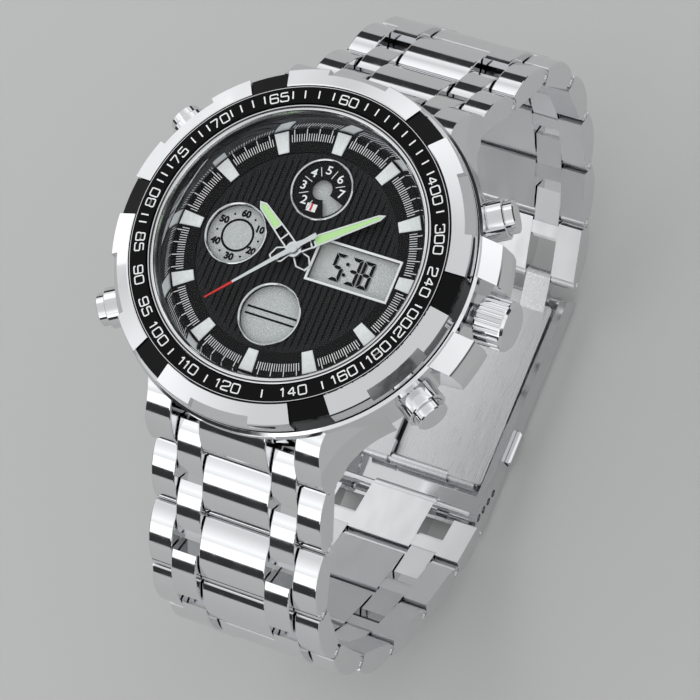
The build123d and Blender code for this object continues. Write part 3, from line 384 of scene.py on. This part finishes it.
def addCurve(bm, curve, matrix):
    # a curve made a mesh and placed
    source = bpy.data.objects.new("curve", curve)
    made = bpy.data.meshes.new_from_object(source)
    made.transform(matrix)
    bm.from_mesh(made)
    bpy.data.meshes.remove(made)
    bpy.data.objects.remove(source)
    bpy.data.curves.remove(curve)


def addText(bm, words, size, matrix, height, widen, weight):
    # plain type from Blender's own font, centred at the matrix's origin
    curve = bpy.data.curves.new("type", "FONT")
    curve.body = words
    curve.size = size * mm
    curve.offset = weight * mm
    curve.align_x = "CENTER"
    curve.align_y = "CENTER"
    curve.extrude = height * mm / 2
    curve.resolution_u = 4  # enough for type this small
    addCurve(bm, curve, matrix @ Matrix.Diagonal((widen, 1, 1, 1)))


# Figures and ticks of the numbered ring

# each figure as strokes in a cell that runs from -1 to 1 both ways: closed or not, and its corners
figureStrokes = {
    "0": ((True, ((-1, -1), (1, -1), (1, 1), (-1, 1))),),
    "1": ((False, ((-0.55, 0.5), (0.05, 1), (0.05, -1))),),
    "2": ((False, ((-1, 0.5), (-1, 1), (1, 1), (1, 0.1), (-1, -0.35), (-1, -1), (1, -1))),),
    "3": ((False, ((-1, 0.55), (-1, 1), (1, 1), (1, 0.02), (-0.1, 0.02))),
          (False, ((0.2, 0.02), (1, 0.02), (1, -1), (-1, -1), (-1, -0.55)))),
    "4": ((False, ((0.45, -1), (0.45, 1), (-1, -0.4), (1, -0.4))),),
    "5": ((False, ((0.9, 1), (-0.85, 1), (-0.92, 0.15), (1, 0.2), (1, -1), (-1, -1), (-1, -0.6))),),
    "6": ((False, ((0.95, 0.6), (0.95, 1), (-1, 1), (-1, -1), (1, -1), (1, 0.1), (-0.95, 0.1))),),
    "7": ((False, ((-1, 1), (1, 1), (-0.15, -1))),),
    "8": ((True, ((-0.92, 0.04), (0.92, 0.04), (0.92, 1), (-0.92, 1))),
          (True, ((-1, -1), (1, -1), (1, 0.04), (-1, 0.04)))),
    "9": ((False, ((-0.95, -0.6), (-0.95, -1), (1, -1), (1, 1), (-1, 1), (-1, -0.1), (0.95, -0.1))),)}
figureSize = {"width": 1.0, "tall": 1.12, "stroke": 0.18, "round": 0.42, "roundShare": 0.45, "advance": 1.34,
              "narrow": 0.84, "sideSteps": 1, "bendSteps": 3}


def addFigure(bm, figure, matrix, height):
    # a squared figure with rounded corners, from flattened round strokes that are half sunk
    s = figureSize
    curve = bpy.data.curves.new("figure", "CURVE")
    curve.dimensions = "3D"
    curve.bevel_depth = s["stroke"] * mm / 2
    curve.bevel_resolution = s["sideSteps"]
    curve.resolution_u = s["bendSteps"]
    curve.use_fill_caps = True
    for closed, corners in figureStrokes[figure]:
        points = [Vector((x * s["width"] / 2, y * s["tall"] / 2, 0)) * mm for x, y in corners]
        path = []
        for k, point in enumerate(points):
            if not closed and k in (0, len(points) - 1):
                path.append(point)
                continue
            for other in (points[k - 1], point, points[(k + 1) % len(points)]):
                reach = min(s["round"] * mm, (other - point).length * s["roundShare"])
                path.append(point + (other - point).normalized() * reach)
        spline = curve.splines.new("NURBS")
        spline.points.add(len(path) - 1)
        for spot, point in zip(spline.points, path):
            spot.co = (*point, 1)
        spline.use_cyclic_u = closed
        spline.order_u = 3  # each bend follows its corner and the points beside it
        spline.use_endpoint_u = not closed
    addCurve(bm, curve, matrix @ Matrix.Diagonal((1, 1, 2 * height / s["stroke"], 1)))


# each number with its angle from 12, its top facing outward or inward, and ticks by their angles
insertPrint = {
    "numeralRadius": 19.1, "height": 0.03, "tickInner": 18.72, "tickLength": 1.0, "tickWidth": 0.17,
    "outward": ((60, 0.7), (65, 333.3), (70, 309.4), (75, 289.6), (80, 271.2), (240, 88.6), (300, 72.2),
                (400, 53.0)),
    "inward": ((85, 253.6), (90, 240.6), (95, 227.6), (100, 215.2), (110, 197.3), (120, 179.5), (140, 154.0),
               (160, 134.6), (180, 120.0), (200, 105.6)),
    "ticks": (61.7, 98.2, 112.9, 127.3, 143.2, 165.9, 188.6, 206.4, 261.3, 264.2, 278.0, 280.9, 284.5, 297.3,
              300.8, 304.3, 314.4, 318.4, 323.1, 327.7, 338.6, 343.3, 348.7, 354.4),
    "plainTicks": {"from": 8.0, "to": 46.0, "count": 9}}


def insertMarks(white):
    s = insertPrint
    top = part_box("bezel_insert")[1].z
    bm = bmesh.new()
    for facing in ("outward", "inward"):
        for speed, middle in s[facing]:
            steps = [figureSize["narrow" if figure == "1" else "advance"] for figure in str(speed)]
            run = -sum(steps) / 2
            for figure, step in zip(str(speed), steps):
                turn = math.degrees((run + step / 2) / s["numeralRadius"])
                run += step
                angle = middle + (turn if facing == "outward" else -turn)
                place = clockPlace(angle, s["numeralRadius"], top)
                if facing == "inward":
                    place = place @ Matrix.Rotation(math.pi, 4, "Z")
                addFigure(bm, figure, place, s["height"])
    plain = s["plainTicks"]
    step = (plain["to"] - plain["from"]) / (plain["count"] - 1)
    for angle in list(s["ticks"]) + [plain["from"] + step * k for k in range(plain["count"])]:
        addBlock(bm, clockPlace(angle, s["tickInner"], top), s["tickWidth"], s["tickLength"], s["height"])
    meshPiece("insert_marks", bm, white)


# Minute ticks on the outer ring of the dial

minuteTrack = {"inner": 14.4, "long": 1.62, "short": 0.98, "width": 0.11, "fineWidth": 0.085, "height": 0.02,
               "perMinute": 5, "markers": 12, "markerHalfAngle": 4.2}


def minuteMarks(white):
    s = minuteTrack
    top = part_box("chapter_ring")[1].z
    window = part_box("window_frame")
    bm = bmesh.new()
    count = 60 * s["perMinute"]
    apart = 360 / s["markers"]
    for k in range(count):
        angle = k * 360 / count
        fromMarker = (angle + apart / 2) % apart - apart / 2
        spot = clockSpot(angle, s["inner"])
        inWindow = 0 < spot.x < window[1].x and window[0].y < spot.y < window[1].y
        if inWindow or abs(fromMarker) < s["markerHalfAngle"]:
            continue
        onMinute = k % s["perMinute"] == 0
        addBlock(bm, clockPlace(angle, s["inner"], top), s["width"] if onMinute else s["fineWidth"],
                 s["long"] if onMinute else s["short"], s["height"])
    meshPiece("minute_marks", bm, white)


# Weekday display

dayPrint = {"radius": 2.55, "size": 1.55, "widen": 1.1, "weight": 0.02, "height": 0.02, "numbers": 7,
            "firstAngle": 178.0, "step": 45.0, "plateAngle": 190.0, "plate": (1.35, 1.0),
            "plateSizeShare": 0.85, "plateWiden": 1.3, "plateWeight": 0.04, "lineStart": 1.75,
            "lineEnd": 2.95, "lineWidth": 0.09, "lineRise": 0.07}


def dayNumbers(white, red):
    # sectors one to seven round the weekday display: the first is red on a white plate
    s = dayPrint
    low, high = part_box("day_lcd")
    centre = Vector(((low.x + high.x) / 2, (low.y + high.y) / 2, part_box("dial")[1].z))
    half = Vector((0, 0, s["height"] * mm / 2))
    numbers = bmesh.new()
    first = bmesh.new()
    spot = centre + clockSpot(s["plateAngle"], s["radius"])
    width, length = s["plate"]
    corner = Matrix.Translation(spot - Vector((0, length * mm / 2, 0)))
    addBlock(numbers, corner, width, length, s["height"])
    addText(first, "1", s["size"] * s["plateSizeShare"], Matrix.Translation(spot + 3 * half), s["height"],
            s["plateWiden"], s["plateWeight"])
    for k in range(1, s["numbers"]):
        spot = centre + clockSpot(s["firstAngle"] + k * s["step"], s["radius"])
        addText(numbers, str(k + 1), s["size"], Matrix.Translation(spot + half), s["height"], s["widen"],
                s["weight"])
        # a white line on the thin bar between two sectors
        line = clockPlace(s["firstAngle"] + (k - 0.5) * s["step"], s["lineStart"], s["lineRise"] * mm)
        addBlock(numbers, Matrix.Translation(centre) @ line, s["lineWidth"], s["lineEnd"] - s["lineStart"],
                 s["height"])
    meshPiece("day_numbers", numbers, white)
    meshPiece("day_first_number", first, red)


# Seconds display

secondsPrint = {"radius": 2.87, "numbers": 6, "size": 1.2, "widen": 1.0, "weight": 0.07, "height": 0.02,
                "ringInner": 1.88, "ringOuter": 2.18, "ringSides": 64, "dotRadius": 0.15}


def secondsScale(ink):
    # numbers every ten seconds, with a dot between each two, round a plain ringed disc
    s = secondsPrint
    low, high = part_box("seconds_lcd")
    centre = Matrix.Translation(((low.x + high.x) / 2, (low.y + high.y) / 2, high.z))
    half = Vector((0, 0, s["height"] * mm / 2))
    bm = bmesh.new()
    step = 360 / s["numbers"]
    for k in range(1, s["numbers"] + 1):
        spot = clockSpot(k * step, s["radius"])
        addText(bm, str(60 * k // s["numbers"]), s["size"], centre @ Matrix.Translation(spot + half),
                s["height"], s["widen"], s["weight"])
        between = clockSpot((k - 0.5) * step, s["radius"])
        addDot(bm, centre @ Matrix.Translation(between + 2 * half), s["dotRadius"])
    addRing(bm, centre @ Matrix.Translation(2 * half), s["ringInner"], s["ringOuter"], s["ringSides"])
    meshPiece("seconds_scale", bm, ink)


# Date display

datePrint = {"gap": 0.45, "width": 0.26, "length": 6.9, "height": 0.02}


def dateBars(ink):
    # two parallel bars across the middle of a bare display
    s = datePrint
    low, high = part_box("date_lcd")
    centre = Vector(((low.x + high.x) / 2, (low.y + high.y) / 2, high.z))
    bm = bmesh.new()
    for side in (-1, 1):
        place = Matrix.Translation(centre + Vector((-s["length"] * mm / 2, side * s["gap"] * mm, 0)))
        addBlock(bm, place @ Matrix.Rotation(-math.pi / 2, 4, "Z"), s["width"], s["length"], s["height"])
    meshPiece("date_bars", bm, ink)


# Spun rings: the bead round the crystal, its seal and sleeve, and the numbered ring's bright rim

ringSteps = 180


def spunRing(name, profile, finish):
    # turns a closed outline of (radius, height) once round the watch's middle
    bm = bmesh.new()
    verts = [bm.verts.new((radius, 0, z)) for radius, z in profile]
    for k, vert in enumerate(verts):
        bm.edges.new((vert, verts[(k + 1) % len(verts)]))
    bmesh.ops.spin(bm, geom=list(bm.verts) + list(bm.edges), cent=(0, 0, 0), axis=(0, 0, 1),
                   angle=2 * math.pi, steps=ringSteps, use_merge=True)
    bmesh.ops.recalc_face_normals(bm, faces=list(bm.faces))
    return meshPiece(name, bm, finish)


def squareRing(name, inner, outer, bottom, top, finish):
    spunRing(name, [(inner, bottom), (inner, top), (outer, top), (outer, bottom)], finish)


# the bead's steps are measured in from its outer edge and up from its top, and all depths down from its top
crystalBead = {"inner": 17.04, "innerDepth": 0.45,
               "steps": ((0.0, -0.04), (0.05, 0.0), (0.17, 0.0), (0.21, -0.12), (0.35, -0.12), (0.38, -0.05),
                         (0.46, -0.01), (0.58, -0.01), (0.68, -0.06), (0.76, -0.16))}
crystalSeal = {"startIn": 0.21, "endIn": 0.35, "topDepth": 0.1, "bottomDepth": 0.12}
crystalSleeve = {"inner": 17.005, "outer": 17.035, "topDepth": 0.42, "bottomDepth": 1.5}


def crystalRing(steel, black):
    # polished bead with fine steps, a thin black seal in its groove and a black sleeve against the crystal
    s = crystalBead
    low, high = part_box("crystal_ring")
    inner, outer = s["inner"] * mm, high.x
    profile = [(outer - back * mm, high.z + rise * mm) for back, rise in s["steps"]]
    profile += [(inner, high.z - s["innerDepth"] * mm), (inner, low.z), (outer, low.z)]
    ring = spunRing("crystal_bead", profile, steel)
    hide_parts("crystal_ring")
    s = crystalSeal
    squareRing("crystal_seal", outer - s["endIn"] * mm, outer - s["startIn"] * mm,
               high.z - s["bottomDepth"] * mm, high.z - s["topDepth"] * mm, black)
    s = crystalSleeve
    squareRing("crystal_sleeve", s["inner"] * mm, s["outer"] * mm, high.z - s["bottomDepth"] * mm,
               high.z - s["topDepth"] * mm, black)


insertRim = {"edgeIn": 0.03, "width": 0.08, "rise": 0.03}


def insertEdge(steel):
    # the thin bright rim at the outside of the numbered ring
    s = insertRim
    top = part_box("bezel_insert")[1]
    outer = top.x - s["edgeIn"] * mm
    squareRing("insert_edge", outer - s["width"] * mm, outer, top.z, top.z + s["rise"] * mm, steel)


# Time display

# figures by their places from the watch's middle; the colon by its place and how far its dots are off centre
timePrint = {"figures": ((5.62, "5"), (7.78, "3"), (9.48, "8")), "colon": (6.7, 0.7), "dot": 0.23,
             "tall": 3.54, "wide": 1.5, "stroke": 0.42, "gap": 0.05, "level": 0.02, "shadow": (0.2, -0.08),
             "shadowLevel": 0.01}
# bars that are driven for each figure, lettered clockwise from the top one, with the middle one last
segmentsOn = {"3": "abcdg", "5": "acdfg", "8": "abcdefg"}


def addDigit(bm, matrix, digit):
    # a seven-segment figure whose bars meet at slanted gaps
    s = timePrint
    wide, tall, bar, gap = s["wide"] / 2, s["tall"] / 2, s["stroke"], s["gap"]
    flat = ((wide - gap, tall), (gap - wide, tall), (bar + gap - wide, tall - bar),
            (wide - bar - gap, tall - bar))
    side = ((wide, gap), (wide, tall - gap), (wide - bar, tall - bar - gap), (wide - bar, bar / 2 + gap),
            (wide - bar / 2, gap))
    tip, shoulder = wide - bar / 2 - gap, wide - bar - gap
    middle = ((tip, 0), (shoulder, bar / 2), (-shoulder, bar / 2), (-tip, 0), (-shoulder, -bar / 2),
              (shoulder, -bar / 2))
    # each bar's outline, and its sign across and up
    bars = {"a": (flat, 1, 1), "b": (side, 1, 1), "c": (side, 1, -1), "d": (flat, 1, -1),
            "e": (side, -1, -1), "f": (side, -1, 1), "g": (middle, 1, 1)}
    for letter in segmentsOn[digit]:
        outline, across, up = bars[letter]
        corners = outline if across * up > 0 else outline[::-1]
        bm.faces.new([bm.verts.new(matrix @ Vector((x * across * mm, y * up * mm, 0))) for x, y in corners])


def timeDigits(name, ink, shift, level):
    # hours and minutes, with the right-hand end of the display blank
    s = timePrint
    low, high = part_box("window_frame")
    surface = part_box("time_lcd")[1].z
    middle = Matrix.Translation((shift[0] * mm, (low.y + high.y) / 2 + shift[1] * mm, surface + level * mm))
    bm = bmesh.new()
    for x, digit in s["figures"]:
        addDigit(bm, middle @ Matrix.Translation((x * mm, 0, 0)), digit)
    x, y = s["colon"]
    for side in (-1, 1):
        addDot(bm, middle @ Matrix.Translation((x * mm, side * y * mm, 0)), s["dot"])
    meshPiece(name, bm, ink)


# Studio, in metres and watts apart from the floor's drop in millimetres

studio = {"floorSize": 6.0, "floor": "#BFBFBE", "floorRoughness": 0.7, "floorDrop": 0.02, "skyLevel": 1.44}
# shades of the dome by height, from -1 below to 1 above: pale under the horizon, then a dark band that
# polished steel can show, bright walls and a greyer ceiling
domeShades = ((-0.03, "#9A9B9C"), (0.0, "#2A2B2C"), (0.25, "#2E2F30"), (0.285, "#E6E7E8"), (0.46, "#C2C3C4"),
              (0.64, "#F2F3F4"), (0.84, "#C4C5C6"), (1.0, "#BCBDBE"))
softboxes = {
    "right_box": {"at": (1.15, -0.15, 0.6), "size": (0.7, 1.3), "power": 0.35},
    "left_box": {"at": (-1.0, 0.35, 0.9), "size": (0.9, 0.9), "power": 1.2},
    "front_box": {"at": (-0.25, -1.2, 0.6), "size": (1.3, 0.4), "power": 1.0}}


def buildFloor():
    s = studio
    bm = bmesh.new()
    bmesh.ops.create_grid(bm, x_segments=1, y_segments=1, size=s["floorSize"] / 2)
    mesh = bpy.data.meshes.new("floor")
    bm.to_mesh(mesh)
    bm.free()
    mesh.materials.append(newMaterial("studio_floor", colour=s["floor"], roughness=s["floorRoughness"])[0])
    floor = bpy.data.objects.new("floor", mesh)
    floor.location.z = -s["floorDrop"] * mm
    bpy.context.collection.objects.link(floor)


def buildDome():
    world = bpy.data.worlds.new("studio")
    world.use_nodes = True
    tree = world.node_tree
    direction = addNode(tree, "ShaderNodeTexCoord").outputs["Generated"]
    up = addNode(tree, "ShaderNodeSeparateXYZ", None, {0: direction}).outputs[2]
    height = addNode(tree, "ShaderNodeMapRange", {1: -1.0, 2: 1.0}, {0: up})
    dome = addNode(tree, "ShaderNodeValToRGB", None, {0: height.outputs[0]})
    stops = dome.color_ramp.elements
    for k, (level, shade) in enumerate(domeShades):
        share = (level + 1) / 2
        stop = stops[k] if k < len(stops) else stops.new(share)
        stop.position = share
        stop.color = linear(shade)
    background = tree.nodes["Background"]
    tree.links.new(dome.outputs[0], background.inputs["Color"])
    background.inputs["Strength"].default_value = studio["skyLevel"]
    bpy.context.scene.world = world


def buildSoftboxes():
    aim = Vector((0, 0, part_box("mid_case")[0].z))
    for name, s in softboxes.items():
        lamp = bpy.data.lights.new(name, "AREA")
        lamp.shape = "RECTANGLE"
        lamp.size, lamp.size_y = s["size"]
        lamp.energy = s["power"]
        holder = bpy.data.objects.new(name, lamp)
        holder.location = s["at"]
        holder.rotation_euler = (aim - Vector(s["at"])).to_track_quat("-Z", "Y").to_euler()
        bpy.context.collection.objects.link(holder)


# the camera stands where the photograph's did, in millimetres from the middle of the numbered ring's top
view = {"from": (187.18, -100.77, 401.42), "right": (0.87727, 0.37843, -0.29528),
        "up": (-0.28021, 0.90322, 0.32509), "lens": 194.0, "sensor": 36.0, "near": 10.0}


def buildCamera():
    s = view
    right = Vector(s["right"]).normalized()
    up = Vector(s["up"])
    up = (up - right * up.dot(right)).normalized()
    back = right.cross(up)
    data = bpy.data.cameras.new("camera")
    data.lens = s["lens"]
    data.sensor_width = s["sensor"]
    data.clip_start = s["near"] * mm
    camera = bpy.data.objects.new("camera", data)
    place = Vector(s["from"]) * mm + Vector((0, 0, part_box("bezel_insert")[1].z))
    camera.matrix_world = Matrix.Translation(place) @ Matrix((right, up, back)).transposed().to_4x4()
    bpy.context.collection.objects.link(camera)
    bpy.context.scene.camera = camera


finishes = makeFinishes()
ringSteel = bpy.data.materials["polished_steel"]  # the frame's own plain steel, for the two bright rings
finishSolids(finishes)
insertMarks(finishes["white_print"])
minuteMarks(finishes["white_print"])
dayNumbers(finishes["white_print"], finishes["red_print"])
secondsScale(finishes["lcd_segment"])
dateBars(finishes["lcd_segment"])
crystalRing(ringSteel, finishes["seal_rubber"])
insertEdge(ringSteel)
timeDigits("time_digits", finishes["lcd_segment"], (0, 0), timePrint["level"])
timeDigits("time_digit_shadows", finishes["lcd_segment_shadow"], timePrint["shadow"],
           timePrint["shadowLevel"])
print("prints and display segments made")
buildFloor()
buildDome()
buildSoftboxes()
buildCamera()
bpy.context.scene.view_settings.view_transform = "Standard"
print("studio and camera set")
